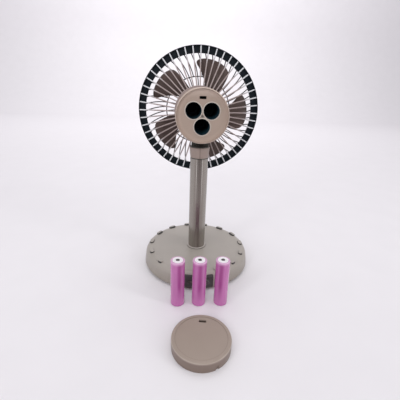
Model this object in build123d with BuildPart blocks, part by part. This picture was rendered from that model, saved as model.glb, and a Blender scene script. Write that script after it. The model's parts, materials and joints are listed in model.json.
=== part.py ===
from build123d import *

import math
import os

# Rechargeable desk fan, seen in millimetres. The origin is the middle of the base's underside,
# +Z is up, +Y is the way the air blows, and the battery compartment opens to -Y.

# Fits shared by all pieces
overrun = 2.0  # how far a cut runs past the face that it opens
slide_gap = 0.3  # room between faces that move past each other
running_gap = 0.05  # radial room of a pin or shaft in its bore
seat_gap = 0.1  # room round a piece that is set into another

# Base
base_radius = 82.2  # at its belly
foot_tuck = 2.2  # the foot is this much narrower than the belly
wall_draft = 1.6  # and so is the top of the side wall
shoulder_reach = 11.2  # from the belly in to the flat top
crown_height = 26.3
shoulder_drop = 8.3
belly_rise = 3.8  # from the foot up to the belly
shell_wall = 2.4
pad_thickness = 1.2
pad_margin = 5.0
plate_fit = 0.9  # room between the bottom plate and the shell round it
plate_thickness = 2.5

# Studs round the rim of the base
stud_count = 15
stud_phase = 14.1  # degrees from +Y towards +X to the first stud
stud_length = 12.4
stud_width = 6.4
stud_height = 2.0  # above the flat top
stud_inset = 9.2  # from the belly in to the middle of a stud
stud_chamfer = 0.7

# Weight and screws inside the base
ballast_radius = 50.0
ballast_bore = 25.0
ballast_thickness = 10.0
base_screw_count = 4
base_screw_inset = 19.0  # from the belly in to the screws
screw_boss_radius = 4.0
screw_radius = 1.5
screw_length = 11.0
screw_head_radius = 2.9
screw_head_height = 1.3

# Dark panel in the rear wall of the base, with its port, lamp and button
panel_width = 41.0
panel_height = 20.6
panel_lift = 1.2  # from the foot of the shell up to the panel
panel_corner = 2.5
panel_recess = 0.4
panel_thickness = 2.0
port_width = 9.0
port_height = 3.2
port_wall = 0.4
port_depth = 9.0
port_tongue = 0.8
port_offset = 10.5  # from the middle of the panel to the left
lens_radius = 1.5
lens_length = 5.0
button_offset = 10.5  # from the middle of the panel to the right
button_radius = 4.4
button_proud = 1.2
button_flange_width = 1.1
button_flange_thickness = 1.4
button_travel = 1.0
board_width = 38.0
board_length = 17.0
board_thickness = 1.6
board_post_radius = 2.6
board_post_spread = 28.0
switch_width = 6.0
switch_depth = 3.6
switch_height = 5.0

# Pole
pole_radius = 13.0
pole_wall = 1.4
pole_exposed = 144.6  # from the top of the base to the neck
pole_socket = 16.0  # how deep the pole goes into the base
pole_boss_wall = 3.0
pole_nut_radius = 20.0
pole_nut_height = 5.0
pole_tail = 1.5  # the pole comes out below its nut
foot_ring_width = 2.2
foot_ring_height = 1.6
foot_ring_chamfer = 0.6

# Swivel between pole and neck
spigot_plug = 20.0
spigot_flange_thickness = 0.8
spigot_post_radius = 8.5
spigot_post_height = 5.6
spigot_head_radius = 10.5
spigot_head_height = 2.4
neck_height = 14.8
neck_flare = 1.5  # the neck is this much wider at its top
neck_edge = 0.8

# Tilt hinge between neck and battery pod
hinge_rise = 5.8  # from the top of the neck to the hinge pin
knuckle_radius = 4.4
hinge_pin_radius = 2.0
lug_width = 12.0
ear_thickness = 5.6
yoke_disc_thickness = 0.9
yoke_tang_width = 11.0
yoke_tang_depth = 5.0
neck_screw_reach = 10.5
neck_screw_drop = 2.6  # from the top of the neck down to its screw

# Battery pod, along the fan's axis
pod_radius = 34.6
pod_overhang = 35.3  # the rear rim lies this far behind the pole's axis
pod_mouth_wall = 1.2
pod_wall = 2.7
pod_edge = 0.9
recess_depth = 3.0
bayonet_width = 2.6
bayonet_depth = 1.0
bayonet_angle = 33.0  # degrees to the side of the lower edge
bay_plate_thickness = 2.2
bay_spacing = 23.1  # between the middles of two bays
bay_radius = 10.1
bay_wall = 1.0
bay_lip_width = 1.0
bay_lip_height = 0.6
plate_band_width = 1.9  # raised band round the edge of the bay plate
plate_band_height = 0.5
latch_width = 8.6
latch_height = 3.6
latch_offset = 22.6  # from the fan's axis up to the latch slot
latch_corner = 0.6
contact_radius = 6.5
contact_thickness = 0.6
cradle_floor_thickness = 1.2
screw_post_wall = 0.9
bay_screw_radius = 1.2
bay_screw_length = 9.0
bay_screw_head_radius = 1.5
bay_screw_head_height = 0.7

# Motor and its mount
mount_thickness = 3.0
mount_spigot_height = 3.0
mount_spigot_wall = 2.0
motor_radius = 14.0
motor_length = 18.0
motor_edge = 1.2
motor_nose_radius = 4.5
motor_nose_height = 1.0
motor_screw_circle = 8.0
motor_screw_radius = 1.2
motor_screw_head_radius = 2.2
motor_screw_head_height = 1.2
motor_screw_length = 7.0
shaft_radius = 1.5
shaft_depth = 14.0  # how deep the shaft goes into the motor
shaft_reach = 8.0  # and how far it comes out of it

# Guards
guard_radius = 90.5
band_width = 10.5
band_thickness = 4.0
rear_rib_count = 48
rear_rib_width = 1.7
rib_depth = 2.0
rear_hub_radius = 35.3
rear_hub_thickness = 2.0
motor_room = 1.5  # round the motor in the hub of the rear guard
dish_depth = 10.0  # from the hub of the rear guard to its rim
dish_start_slope = 0.45  # how steeply the ribs leave the hub
hoop_width = 1.3
guard_boss_bite = 0.6  # how far a screw boss goes into the wall of the pod
guard_screw_boss_radius = 3.3
guard_screw_boss_length = 12.0
guard_screw_count = 3
front_rib_count = 48
front_rib_width = 1.5
dome_depth = 24.0
dome_inset = 3.5  # from the edge of the guard in to the foot of the dome
dome_shoulder_depth = 16.0
dome_shoulder_inset = 13.0
front_ring_radius = 0.8  # of the wire of the middle ring
front_ring_share = 0.43  # of the way in from the dome's shoulder to its boss
front_boss_radius = 17.0
front_boss_proud = 0.8
rib_lean = 11.0  # degrees that a front rib leans by at its outer end

# Impeller
blade_count = 5
blade_tip_clearance = 5.4  # from the band of the guard in to the blade tips
blade_depth = 20.2  # from the front of the mount to the middle of the blades
blade_thickness = 1.5
blade_corner = 9.0
blade_root_start = 15.0  # degrees clockwise from the top, seen from behind
blade_root_end = 52.0
blade_tip_start = -3.0
blade_tip_end = 38.0
root_pitch = 46.0  # degrees between the blade and the plane of its turning
tip_pitch = 13.0
root_camber = 1.5
tip_camber = 3.0
root_chord = 19.0
tip_chord = 60.0
hub_radius = 21.0
hub_length = 18.0
hub_wall = 2.0
hub_edge = 3.0
hub_boss_radius = 4.0

# Battery cover, lying face up on the table
cover_fit = 0.2  # radial room between the cover and the mouth of the pod
cover_height = 12.9
cover_wall = 1.8
cover_face = 2.2
cover_edge = 1.8
cover_panel_inset = 4.2
cover_panel_depth = 0.35
cover_place_x = -2.3
cover_turn = 7.0  # degrees clockwise from above, as it lies
cover_place_gap = 69.6  # from the row of cells back to the middle of the cover
cover_contact_bore = 5.0
cover_contact_thickness = 0.5
cover_leaf_width = 5.0
cover_leaf_length = 9.0
cover_leaf_drop = 3.0

# Cells, standing on the table
cell_radius = 9.2
cell_length = 65.0
cell_edge = 0.5
cell_protrusion = 5.0  # of a cell in its bay, past the bay plate
cell_row_gap = 22.4  # from the belly of the base back to the row of cells
cell_place_shares = {"left": -1.0, "middle": -0.05, "right": 0.95}
cell_pitch = 29.2
cell_pocket_radius = 7.1
cell_pocket_depth = 0.9
cell_ring_thickness = 0.6
cell_ring_bore = 3.6
cell_cap_radius = 2.9
cell_cap_height = 1.1

# Heights that follow from the sizes above
foot_height = pad_thickness
belly_height = foot_height + belly_rise
wall_top_height = crown_height - shoulder_drop
foot_radius = base_radius - foot_tuck
wall_top_radius = base_radius - wall_draft
rim_radius = base_radius - shoulder_reach
plate_top = foot_height + plate_thickness
panel_middle = foot_height + panel_lift + panel_height / 2
pole_hole_radius = pole_radius + running_gap
pole_top = crown_height + pole_exposed
boss_bottom = crown_height - pole_socket + pole_nut_height + pole_tail
pole_bottom = crown_height - pole_socket
neck_bottom = pole_top + spigot_flange_thickness + slide_gap
neck_top = neck_bottom + neck_height
pin_height = neck_top + hinge_rise
axis_height = pin_height + knuckle_radius + pod_radius

# Depths along the fan's axis, counted forwards from the pole's axis
pod_rear = -pod_overhang
plate_face = pod_rear + recess_depth
plate_front = plate_face + bay_plate_thickness
cell_front = plate_face - cell_protrusion + cell_length
cradle_front = cell_front + contact_thickness + cradle_floor_thickness
pod_front = cradle_front + motor_screw_head_height + slide_gap
mount_front = pod_front + mount_thickness
hub_plate_front = mount_front + rear_hub_thickness
rib_rim_rear = mount_front + dish_depth
band_rear = rib_rim_rear + rib_depth
band_front = band_rear + band_thickness
dome_front = band_front + dome_depth
motor_front = mount_front + motor_length
blade_middle = mount_front + blade_depth
hub_rear = blade_middle - hub_length / 2
hub_front = blade_middle + hub_length / 2

pod_mouth_radius = pod_radius - pod_mouth_wall
pod_bore_radius = pod_radius - pod_wall
bay_plate_radius = pod_mouth_radius - seat_gap
guard_screw_circle = pod_bore_radius + guard_boss_bite - guard_screw_boss_radius
bay_circle = bay_spacing / math.sqrt(3)
band_inner_radius = guard_radius - band_width
blade_tip_radius = band_inner_radius - blade_tip_clearance
cover_radius = pod_mouth_radius - cover_fit
cell_row = -(base_radius + cell_row_gap)
cover_place_y = cell_row - cover_place_gap

fan_axis = Axis((0, 0, axis_height), (0, 1, 0))
fan_section = Plane(origin=(0, 0, axis_height), x_dir=(0, 1, 0), z_dir=(1, 0, 0))


# A plane across the fan's axis at a given depth: x to the right, y up and z to the rear
def across(depth):
    return Plane(origin=(0, depth, axis_height), x_dir=(1, 0, 0), z_dir=(0, -1, 0))


# A plane across the rear wall of the base at a given depth, at the height of the panel's middle
def across_panel(depth):
    return Plane(origin=(0, depth, panel_middle), x_dir=(1, 0, 0), z_dir=(0, -1, 0))


# Place of a point at a radius and an angle, clockwise from the top as seen from behind
def clock_point(radius, angle):
    turn = math.radians(angle)
    return (radius * math.sin(turn), radius * math.cos(turn))


# Write a finished piece under its name
def save(piece, name):
    piece.part.label = name
    export_step(piece.part, f"parts/{name}.step")


os.makedirs("parts", exist_ok=True)

# Outline of the base, from its axis out: foot, belly, side wall, shoulder and flat top
with BuildSketch(Plane.XZ) as base_outline:
    with BuildLine():
        foot = Line((0, foot_height), (foot_radius, foot_height))
        flare = Line(foot @ 1, (base_radius, belly_height))
        wall = Line(flare @ 1, (wall_top_radius, wall_top_height))
        shoulder = TangentArc(wall @ 1, (rim_radius, crown_height), tangent=wall % 1)
        Polyline(shoulder @ 1, (0, crown_height), foot @ 0)
    make_face()

# Base shell: an open-bottomed moulding with a socket for the pole and a window for the panel
base_screws_circle = base_radius - base_screw_inset
with BuildPart() as base_shell:
    revolve(base_outline.sketch, axis=Axis.Z)
    offset(amount=-shell_wall, openings=base_shell.faces().sort_by(Axis.Z)[0])
    with BuildSketch(Plane.XY.offset(boss_bottom)):
        Circle(pole_hole_radius + pole_boss_wall)
    extrude(amount=crown_height - shell_wall / 2 - boss_bottom)
    with BuildSketch(Plane.XY.offset(plate_top)):
        with PolarLocations(base_screws_circle, base_screw_count, start_angle=45):
            Circle(screw_boss_radius)
    extrude(amount=crown_height - shell_wall / 4 - plate_top)
    with BuildSketch(Plane.XY.offset(plate_top - overrun)):
        with PolarLocations(base_screws_circle, base_screw_count, start_angle=45):
            Circle(screw_radius + running_gap)
    extrude(amount=screw_length + overrun, mode=Mode.SUBTRACT)
    with BuildSketch(Plane.XY.offset(pole_bottom - overrun)):
        Circle(pole_hole_radius)
    extrude(amount=pole_socket + 2 * overrun, mode=Mode.SUBTRACT)
    with BuildSketch(across_panel(-rim_radius)):
        RectangleRounded(panel_width + 2 * seat_gap, panel_height + 2 * seat_gap, panel_corner)
    extrude(amount=shoulder_reach + overrun, mode=Mode.SUBTRACT)
save(base_shell, "base_shell")

# Studs that stand on the shoulder of the base
with BuildPart() as rim_studs:
    with BuildSketch(Plane.XY.offset(wall_top_height)):
        with PolarLocations(base_radius - stud_inset, stud_count, start_angle=90 - stud_phase):
            SlotOverall(stud_length, stud_width, rotation=90)
    extrude(amount=crown_height + stud_height - wall_top_height)
    chamfer(rim_studs.faces().group_by(Axis.Z)[-1].edges(), stud_chamfer)
    revolve(base_outline.sketch, axis=Axis.Z, mode=Mode.SUBTRACT)
save(rim_studs, "rim_studs")

# Depth of the panel's outer face, or of another round wall, at a distance from its middle
def wall_depth(radius, distance):
    return -math.sqrt(radius**2 - distance**2)


# Places of the port, button, switch and board behind the panel
panel_radius = base_radius - panel_recess
panel_back_radius = wall_top_radius - panel_recess - panel_thickness
port_mouth = wall_depth(panel_radius, port_offset) + panel_recess
button_face = wall_depth(panel_radius, button_offset) - button_proud
flange_radius = button_radius + button_flange_width
flange_back = wall_depth(panel_back_radius, button_offset + flange_radius) + slide_gap
flange_front = flange_back + button_flange_thickness
switch_face = flange_front + button_travel + seat_gap
board_top = panel_middle - port_height / 2
board_middle = switch_face + board_length / 2

# Bottom plate, with sunk holes for its screws and two posts for the board
plate_radius = foot_radius - shell_wall - plate_fit
with BuildPart() as base_plate:
    with BuildSketch(Plane.XY.offset(foot_height)):
        Circle(plate_radius)
    extrude(amount=plate_thickness)
    with BuildSketch(Plane.XY.offset(plate_top)):
        with Locations((0, board_middle)):
            with GridLocations(board_post_spread, 0, 2, 1):
                Circle(board_post_radius)
    extrude(amount=board_top - board_thickness - plate_top)
    with Locations(Plane.XY.offset(foot_height)):
        with PolarLocations(base_screws_circle, base_screw_count, start_angle=45):
            Cylinder(
                screw_radius + running_gap,
                2 * (plate_thickness + overrun),
                mode=Mode.SUBTRACT,
            )
            Cylinder(
                screw_head_radius + seat_gap,
                2 * screw_head_height,
                mode=Mode.SUBTRACT,
            )
save(base_plate, "base_plate")

# Screws of the bottom plate, heads down
with BuildPart() as base_screws:
    with BuildSketch(Plane.XY.offset(foot_height)):
        with PolarLocations(base_screws_circle, base_screw_count, start_angle=45):
            Circle(screw_head_radius)
    extrude(amount=screw_head_height)
    with BuildSketch(Plane.XY.offset(foot_height)):
        with PolarLocations(base_screws_circle, base_screw_count, start_angle=45):
            Circle(screw_radius)
    extrude(amount=screw_length)
save(base_screws, "base_screws")

# Soft pad that the fan stands on
with BuildPart() as non_slip_pad:
    with BuildSketch(Plane.XY):
        Circle(plate_radius - pad_margin)
    extrude(amount=pad_thickness)
save(non_slip_pad, "non_slip_pad")

# Steel ring that keeps the fan from tipping over
with BuildPart() as ballast_weight:
    with BuildSketch(Plane.XY.offset(plate_top)):
        Circle(ballast_radius)
        Circle(ballast_bore, mode=Mode.SUBTRACT)
    extrude(amount=ballast_thickness)
save(ballast_weight, "ballast_weight")

# Pole and the ring and nut at its foot
with BuildPart() as pole_tube:
    with BuildSketch(Plane.XY.offset(pole_bottom)):
        Circle(pole_radius)
        Circle(pole_radius - pole_wall, mode=Mode.SUBTRACT)
    extrude(amount=pole_top - pole_bottom)
save(pole_tube, "pole_tube")

with BuildPart() as pole_foot_ring:
    with BuildSketch(Plane.XY.offset(crown_height)):
        Circle(pole_hole_radius + foot_ring_width)
        Circle(pole_hole_radius, mode=Mode.SUBTRACT)
    extrude(amount=foot_ring_height)
    top_edges = pole_foot_ring.edges().filter_by(GeomType.CIRCLE).group_by(Axis.Z)[-1]
    chamfer(top_edges.sort_by(SortBy.RADIUS)[-1], foot_ring_chamfer)
save(pole_foot_ring, "pole_foot_ring")

with BuildPart() as pole_nut:
    with BuildSketch(Plane.XY.offset(boss_bottom - pole_nut_height)):
        RegularPolygon(pole_nut_radius, 6)
        Circle(pole_hole_radius, mode=Mode.SUBTRACT)
    extrude(amount=pole_nut_height)
save(pole_nut, "pole_nut")

# Dark panel that follows the curve of the base's wall, a little below its surface
with BuildSketch(Plane.XZ) as panel_section:
    add(base_outline.sketch_local)
    offset(amount=-panel_recess, mode=Mode.REPLACE)
with BuildSketch(Plane.XZ) as panel_core:
    add(base_outline.sketch_local)
    offset(amount=-(panel_recess + panel_thickness), mode=Mode.REPLACE)
with BuildPart() as port_panel:
    with BuildSketch(across_panel(-rim_radius)):
        RectangleRounded(panel_width, panel_height, panel_corner)
    extrude(amount=shoulder_reach + overrun)
    revolve(panel_section.sketch, axis=Axis.Z, mode=Mode.INTERSECT)
    revolve(panel_core.sketch, axis=Axis.Z, mode=Mode.SUBTRACT)
    with BuildSketch(Plane.XY.offset(foot_height)):
        Circle(foot_radius - shell_wall)
    extrude(amount=plate_thickness + shell_wall, mode=Mode.SUBTRACT)
    with BuildSketch(across_panel(-rim_radius)):
        with Locations((-port_offset, 0)):
            SlotOverall(port_width + 2 * seat_gap, port_height + 2 * seat_gap)
        with Locations((button_offset, 0)):
            Circle(button_radius + slide_gap)
        Circle(lens_radius + running_gap)
    extrude(amount=shoulder_reach + overrun, mode=Mode.SUBTRACT)
save(port_panel, "port_panel")

# Charging port: a slot-shaped metal sleeve with a tongue inside
with BuildPart() as charge_port:
    with BuildSketch(across_panel(port_mouth + port_depth)):
        with Locations((-port_offset, 0)):
            SlotOverall(port_width, port_height)
    extrude(amount=port_depth)
    with BuildSketch(across_panel(port_mouth)):
        with Locations((-port_offset, 0)):
            SlotOverall(port_width - 2 * port_wall, port_height - 2 * port_wall)
            Rectangle(port_width - port_height, port_tongue, mode=Mode.SUBTRACT)
    extrude(amount=-(port_depth - port_tongue), mode=Mode.SUBTRACT)
save(charge_port, "charge_port")

# Lamp lens
with BuildPart() as indicator_lens:
    with BuildSketch(across_panel(lens_length - panel_radius)):
        Circle(lens_radius)
    extrude(amount=lens_length)
save(indicator_lens, "indicator_lens")

# Power button, kept in by a flange behind the panel
with BuildPart() as power_button:
    with BuildSketch(across_panel(flange_front)):
        with Locations((button_offset, 0)):
            Circle(button_radius)
    extrude(amount=flange_front - button_face)
    with BuildSketch(across_panel(flange_front)):
        with Locations((button_offset, 0)):
            Circle(flange_radius)
    extrude(amount=button_flange_thickness)
    rim_edges = power_button.edges().filter_by(GeomType.CIRCLE).sort_by(Axis.Y)
    chamfer(rim_edges[0], button_proud / 2)
save(power_button, "power_button")

# Board and the switch behind the button
with BuildPart() as control_board:
    with BuildSketch(Plane.XY.offset(board_top - board_thickness)):
        with Locations((0, board_middle)):
            Rectangle(board_width, board_length)
    extrude(amount=board_thickness)
save(control_board, "control_board")

with BuildPart() as tact_switch:
    with BuildSketch(Plane.XY.offset(board_top)):
        with Locations((button_offset, switch_face + switch_depth / 2)):
            Rectangle(switch_width, switch_depth)
    extrude(amount=switch_height)
save(tact_switch, "tact_switch")

# Swivel spigot: a plug in the pole's top with a headed post that the neck turns on
post_top = neck_bottom + spigot_post_height
with BuildPart() as swivel_spigot:
    with BuildSketch(Plane.XY.offset(pole_top - spigot_plug)):
        Circle(pole_radius - pole_wall - running_gap)
    extrude(amount=spigot_plug)
    with BuildSketch(Plane.XY.offset(pole_top)):
        Circle(pole_radius)
    extrude(amount=spigot_flange_thickness)
    with BuildSketch(Plane.XY.offset(pole_top)):
        Circle(spigot_post_radius)
    extrude(amount=post_top - pole_top)
    with BuildSketch(Plane.XY.offset(post_top)):
        Circle(spigot_head_radius)
    extrude(amount=spigot_head_height)
save(swivel_spigot, "swivel_spigot")

# Neck: two half shells round the spigot's post, with a pocket for the yoke on top
neck_screw_height = neck_top - neck_screw_drop
for side, keep in (("left", Keep.BOTTOM), ("right", Keep.TOP)):
    with BuildPart() as neck_shell:
        with BuildSketch(Plane.XZ):
            with BuildLine():
                Polyline(
                    (0, neck_bottom),
                    (pole_radius, neck_bottom),
                    (pole_radius + neck_flare, neck_top - neck_edge),
                    (pole_radius + neck_flare - neck_edge, neck_top),
                    (0, neck_top),
                    close=True,
                )
            make_face()
        revolve(axis=Axis.Z)
        with BuildSketch(Plane.XY.offset(neck_bottom - overrun)):
            Circle(spigot_post_radius + slide_gap)
        extrude(amount=spigot_post_height + overrun, mode=Mode.SUBTRACT)
        with BuildSketch(Plane.XY.offset(post_top - slide_gap)):
            Circle(spigot_head_radius + slide_gap)
        extrude(amount=spigot_head_height + 2 * slide_gap, mode=Mode.SUBTRACT)
        with BuildSketch(Plane.XY.offset(neck_top + overrun)):
            Rectangle(yoke_tang_width + 2 * seat_gap, yoke_tang_width + 2 * seat_gap)
        extrude(amount=-(yoke_tang_depth + overrun), mode=Mode.SUBTRACT)
        with BuildSketch(Plane.YZ.offset(-neck_screw_reach)):
            with Locations((0, neck_screw_height)):
                Circle(screw_radius + running_gap)
        extrude(amount=2 * neck_screw_reach, mode=Mode.SUBTRACT)
        with BuildSketch(Plane.YZ.offset(neck_screw_reach)):
            with Locations((0, neck_screw_height)):
                Circle(screw_radius + seat_gap + running_gap)
        extrude(amount=pole_radius, mode=Mode.SUBTRACT)
        split(bisect_by=Plane.YZ, keep=keep)
    save(neck_shell, f"neck_shell_{side}")

# Headless screw that ties the two halves and the yoke's tang together
with BuildPart() as neck_screw:
    with BuildSketch(Plane.YZ.offset(-neck_screw_reach)):
        with Locations((0, neck_screw_height)):
            Circle(screw_radius)
    extrude(amount=2 * neck_screw_reach)
save(neck_screw, "neck_screw")

# Yoke: a tang in the neck, a disc on its top and two round-topped ears
ear_inner = lug_width / 2 + slide_gap
with BuildPart() as tilt_yoke:
    with BuildSketch(Plane.XY.offset(neck_top - yoke_tang_depth)):
        Rectangle(yoke_tang_width, yoke_tang_width)
    extrude(amount=yoke_tang_depth)
    with BuildSketch(Plane.XY.offset(neck_top)):
        Circle(pole_radius + neck_flare - neck_edge)
    extrude(amount=yoke_disc_thickness)
    for side in (-1, 1):
        with BuildSketch(Plane.YZ.offset(side * ear_inner)):
            with Locations((0, pin_height)):
                Circle(knuckle_radius - slide_gap)
            with Locations((0, (pin_height + neck_top) / 2)):
                Rectangle(2 * (knuckle_radius - slide_gap), hinge_rise)
        extrude(amount=side * ear_thickness)
    with BuildSketch(Plane.YZ):
        with Locations((0, pin_height)):
            Circle(hinge_pin_radius + running_gap)
        with Locations((0, neck_screw_height)):
            Circle(screw_radius + running_gap)
    extrude(amount=pole_radius + neck_flare, both=True, mode=Mode.SUBTRACT)
save(tilt_yoke, "tilt_yoke")

with BuildPart() as hinge_pin:
    with BuildSketch(Plane.YZ):
        with Locations((0, pin_height)):
            Circle(hinge_pin_radius)
    extrude(amount=ear_inner + ear_thickness, both=True)
save(hinge_pin, "hinge_pin")

# Lug under the pod, round the hinge pin
with BuildPart() as tilt_lug:
    with BuildSketch(Plane.YZ):
        with Locations((0, pin_height)):
            Circle(knuckle_radius)
        with Locations((0, pin_height + knuckle_radius)):
            Rectangle(2 * knuckle_radius, 2 * knuckle_radius)
        with Locations((0, pin_height)):
            Circle(hinge_pin_radius + running_gap, mode=Mode.SUBTRACT)
    extrude(amount=lug_width / 2, both=True)
    with BuildSketch(across(pod_front)):
        Circle(pod_radius)
    extrude(amount=pod_front - pod_rear, mode=Mode.SUBTRACT)
save(tilt_lug, "tilt_lug")

# Pod: a round housing, stepped inside its mouth, with bosses for the guard screws
with BuildPart() as pod_housing:
    with BuildSketch(fan_section):
        with BuildLine():
            Polyline(
                (pod_rear, pod_mouth_radius),
                (pod_rear, pod_radius - pod_edge),
                (pod_rear + pod_edge, pod_radius),
                (pod_front, pod_radius),
                (pod_front, pod_bore_radius),
                (plate_front, pod_bore_radius),
                (plate_front, pod_mouth_radius),
                close=True,
            )
        make_face()
    revolve(axis=fan_axis)
    with BuildSketch(across(pod_front - mount_spigot_height - seat_gap)):
        with PolarLocations(guard_screw_circle, guard_screw_count, start_angle=90):
            Circle(guard_screw_boss_radius)
    extrude(amount=guard_screw_boss_length)
    with BuildSketch(across(pod_front)):
        with PolarLocations(guard_screw_circle, guard_screw_count, start_angle=90):
            Circle(screw_radius + running_gap)
    extrude(amount=guard_screw_boss_length, mode=Mode.SUBTRACT)
    with BuildSketch(across(plate_face - plate_band_height)):
        with PolarLocations(pod_mouth_radius, 2, start_angle=bayonet_angle - 90):
            Rectangle(2 * bayonet_depth, bayonet_width)
    extrude(amount=recess_depth / 2)
save(pod_housing, "pod_housing")

# Plate over the bays: a raised edge, three holes with lips, a latch slot and a hole for its screw
with BuildPart() as bay_plate:
    with BuildSketch(across(plate_front)):
        Circle(bay_plate_radius)
    extrude(amount=bay_plate_thickness)
    with BuildSketch(across(plate_face)):
        with PolarLocations(bay_circle, 3, start_angle=30):
            Circle(bay_radius + bay_lip_width)
    extrude(amount=bay_lip_height)
    with BuildSketch(across(plate_face)):
        Circle(bay_plate_radius)
        Circle(bay_plate_radius - plate_band_width, mode=Mode.SUBTRACT)
    extrude(amount=plate_band_height)
    with BuildSketch(across(plate_front + overrun)):
        with PolarLocations(bay_circle, 3, start_angle=30):
            Circle(bay_radius)
        Circle(bay_screw_radius + running_gap)
        with Locations((0, latch_offset)):
            RectangleRounded(latch_width, latch_height, latch_corner)
    extrude(amount=bay_plate_thickness + recess_depth + overrun, mode=Mode.SUBTRACT)
save(bay_plate, "bay_plate")

with BuildPart() as bay_screw:
    with BuildSketch(across(plate_face + bay_screw_length)):
        Circle(bay_screw_radius)
    extrude(amount=bay_screw_length)
    with BuildSketch(across(plate_face)):
        Circle(bay_screw_head_radius)
    extrude(amount=bay_screw_head_height)
save(bay_screw, "bay_screw")

# Cradle: three sleeves for the cells, the disc that closes them and a post for the plate's screw
sleeve_front = cell_front + contact_thickness
with BuildPart() as battery_cradle:
    with BuildSketch(across(sleeve_front)):
        with PolarLocations(bay_circle, 3, start_angle=30):
            Circle(bay_radius + bay_wall)
            Circle(bay_radius, mode=Mode.SUBTRACT)
    extrude(amount=sleeve_front - plate_front)
save(battery_cradle, "battery_cradle")

with BuildPart() as cradle_floor:
    with BuildSketch(across(cradle_front)):
        Circle(bay_circle + bay_radius + bay_wall)
    extrude(amount=cradle_floor_thickness)
save(cradle_floor, "cradle_floor")

with BuildPart() as screw_post:
    with BuildSketch(across(sleeve_front)):
        Circle(bay_screw_radius + running_gap + screw_post_wall)
    extrude(amount=sleeve_front - plate_front)
    with BuildSketch(across(plate_face + bay_screw_length)):
        Circle(bay_screw_radius + running_gap)
    extrude(amount=bay_screw_length, mode=Mode.SUBTRACT)
save(screw_post, "screw_post")

with BuildPart() as bay_contacts:
    with BuildSketch(across(cell_front + contact_thickness)):
        with PolarLocations(bay_circle, 3, start_angle=30):
            Circle(contact_radius)
    extrude(amount=contact_thickness)
save(bay_contacts, "bay_contacts")

# Bulkhead that closes the pod and carries the motor
with BuildPart() as motor_mount:
    with BuildSketch(across(mount_front)):
        Circle(pod_radius)
    extrude(amount=mount_thickness)
    with BuildSketch(across(pod_front)):
        Circle(pod_bore_radius - seat_gap)
        Circle(pod_bore_radius - seat_gap - mount_spigot_wall, mode=Mode.SUBTRACT)
        with PolarLocations(guard_screw_circle, guard_screw_count, start_angle=90):
            Circle(guard_screw_boss_radius)
        Circle(pod_bore_radius - seat_gap, mode=Mode.INTERSECT)
    extrude(amount=mount_spigot_height)
    with BuildSketch(across(mount_front)):
        with PolarLocations(guard_screw_circle, guard_screw_count, start_angle=90):
            Circle(screw_radius + running_gap)
        with PolarLocations(motor_screw_circle, 2):
            Circle(motor_screw_radius + running_gap)
    extrude(amount=mount_thickness + mount_spigot_height, mode=Mode.SUBTRACT)
save(motor_mount, "motor_mount")

# Motor with its screws and shaft
with BuildPart() as motor_can:
    with BuildSketch(across(motor_front)):
        Circle(motor_radius)
    extrude(amount=motor_length)
    chamfer(motor_can.faces().sort_by(Axis.Y)[-1].edges(), motor_edge)
    with BuildSketch(across(motor_front + motor_nose_height)):
        Circle(motor_nose_radius)
    extrude(amount=motor_nose_height)
    with BuildSketch(across(motor_front + motor_nose_height)):
        Circle(shaft_radius + running_gap)
    extrude(amount=motor_nose_height + shaft_depth + running_gap, mode=Mode.SUBTRACT)
    with BuildSketch(across(pod_front + motor_screw_length)):
        with PolarLocations(motor_screw_circle, 2):
            Circle(motor_screw_radius + running_gap)
    extrude(amount=motor_screw_length, mode=Mode.SUBTRACT)
save(motor_can, "motor_can")

with BuildPart() as motor_screws:
    with BuildSketch(across(pod_front + motor_screw_length)):
        with PolarLocations(motor_screw_circle, 2):
            Circle(motor_screw_radius)
    extrude(amount=motor_screw_length)
    with BuildSketch(across(pod_front)):
        with PolarLocations(motor_screw_circle, 2):
            Circle(motor_screw_head_radius)
    extrude(amount=motor_screw_head_height)
save(motor_screws, "motor_screws")

with BuildPart() as motor_shaft:
    with BuildSketch(across(motor_front + shaft_reach)):
        Circle(shaft_radius)
    extrude(amount=shaft_reach + shaft_depth)
save(motor_shaft, "motor_shaft")

# Rear guard: straight ribs cut from a shallow dish, a hub plate and a thin hoop at the rim
with BuildPart() as rear_guard:
    with BuildSketch(fan_section):
        with BuildLine():
            rise = TangentArc(
                (mount_front, rear_hub_radius),
                (rib_rim_rear, band_inner_radius),
                tangent=(dish_start_slope, 1),
            )
            rim = Polyline(
                rise @ 1,
                (rib_rim_rear, guard_radius),
                (band_rear, guard_radius),
                (band_rear, band_inner_radius),
            )
            fall = TangentArc(
                (mount_front + rib_depth, rear_hub_radius),
                rim @ 1,
                tangent=(dish_start_slope, 1),
            )
            Line(fall @ 0, rise @ 0)
        make_face()
    revolve(axis=fan_axis)
    with BuildSketch(across(band_rear + overrun)):
        with PolarLocations(guard_radius / 2 + rear_hub_radius / 2, rear_rib_count):
            Rectangle(guard_radius - rear_hub_radius + overrun, rear_rib_width)
    extrude(amount=rib_depth + dish_depth + 2 * overrun, mode=Mode.INTERSECT)
    with BuildSketch(across(hub_plate_front)):
        Circle(rear_hub_radius + rear_rib_width)
        Circle(motor_radius + motor_room, mode=Mode.SUBTRACT)
        with PolarLocations(guard_screw_circle, guard_screw_count, start_angle=90):
            Circle(screw_radius + running_gap, mode=Mode.SUBTRACT)
    extrude(amount=rear_hub_thickness)
    with BuildSketch(across(band_rear)):
        Circle(guard_radius)
        Circle(guard_radius - hoop_width, mode=Mode.SUBTRACT)
    extrude(amount=rib_depth)
save(rear_guard, "rear_guard")

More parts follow.
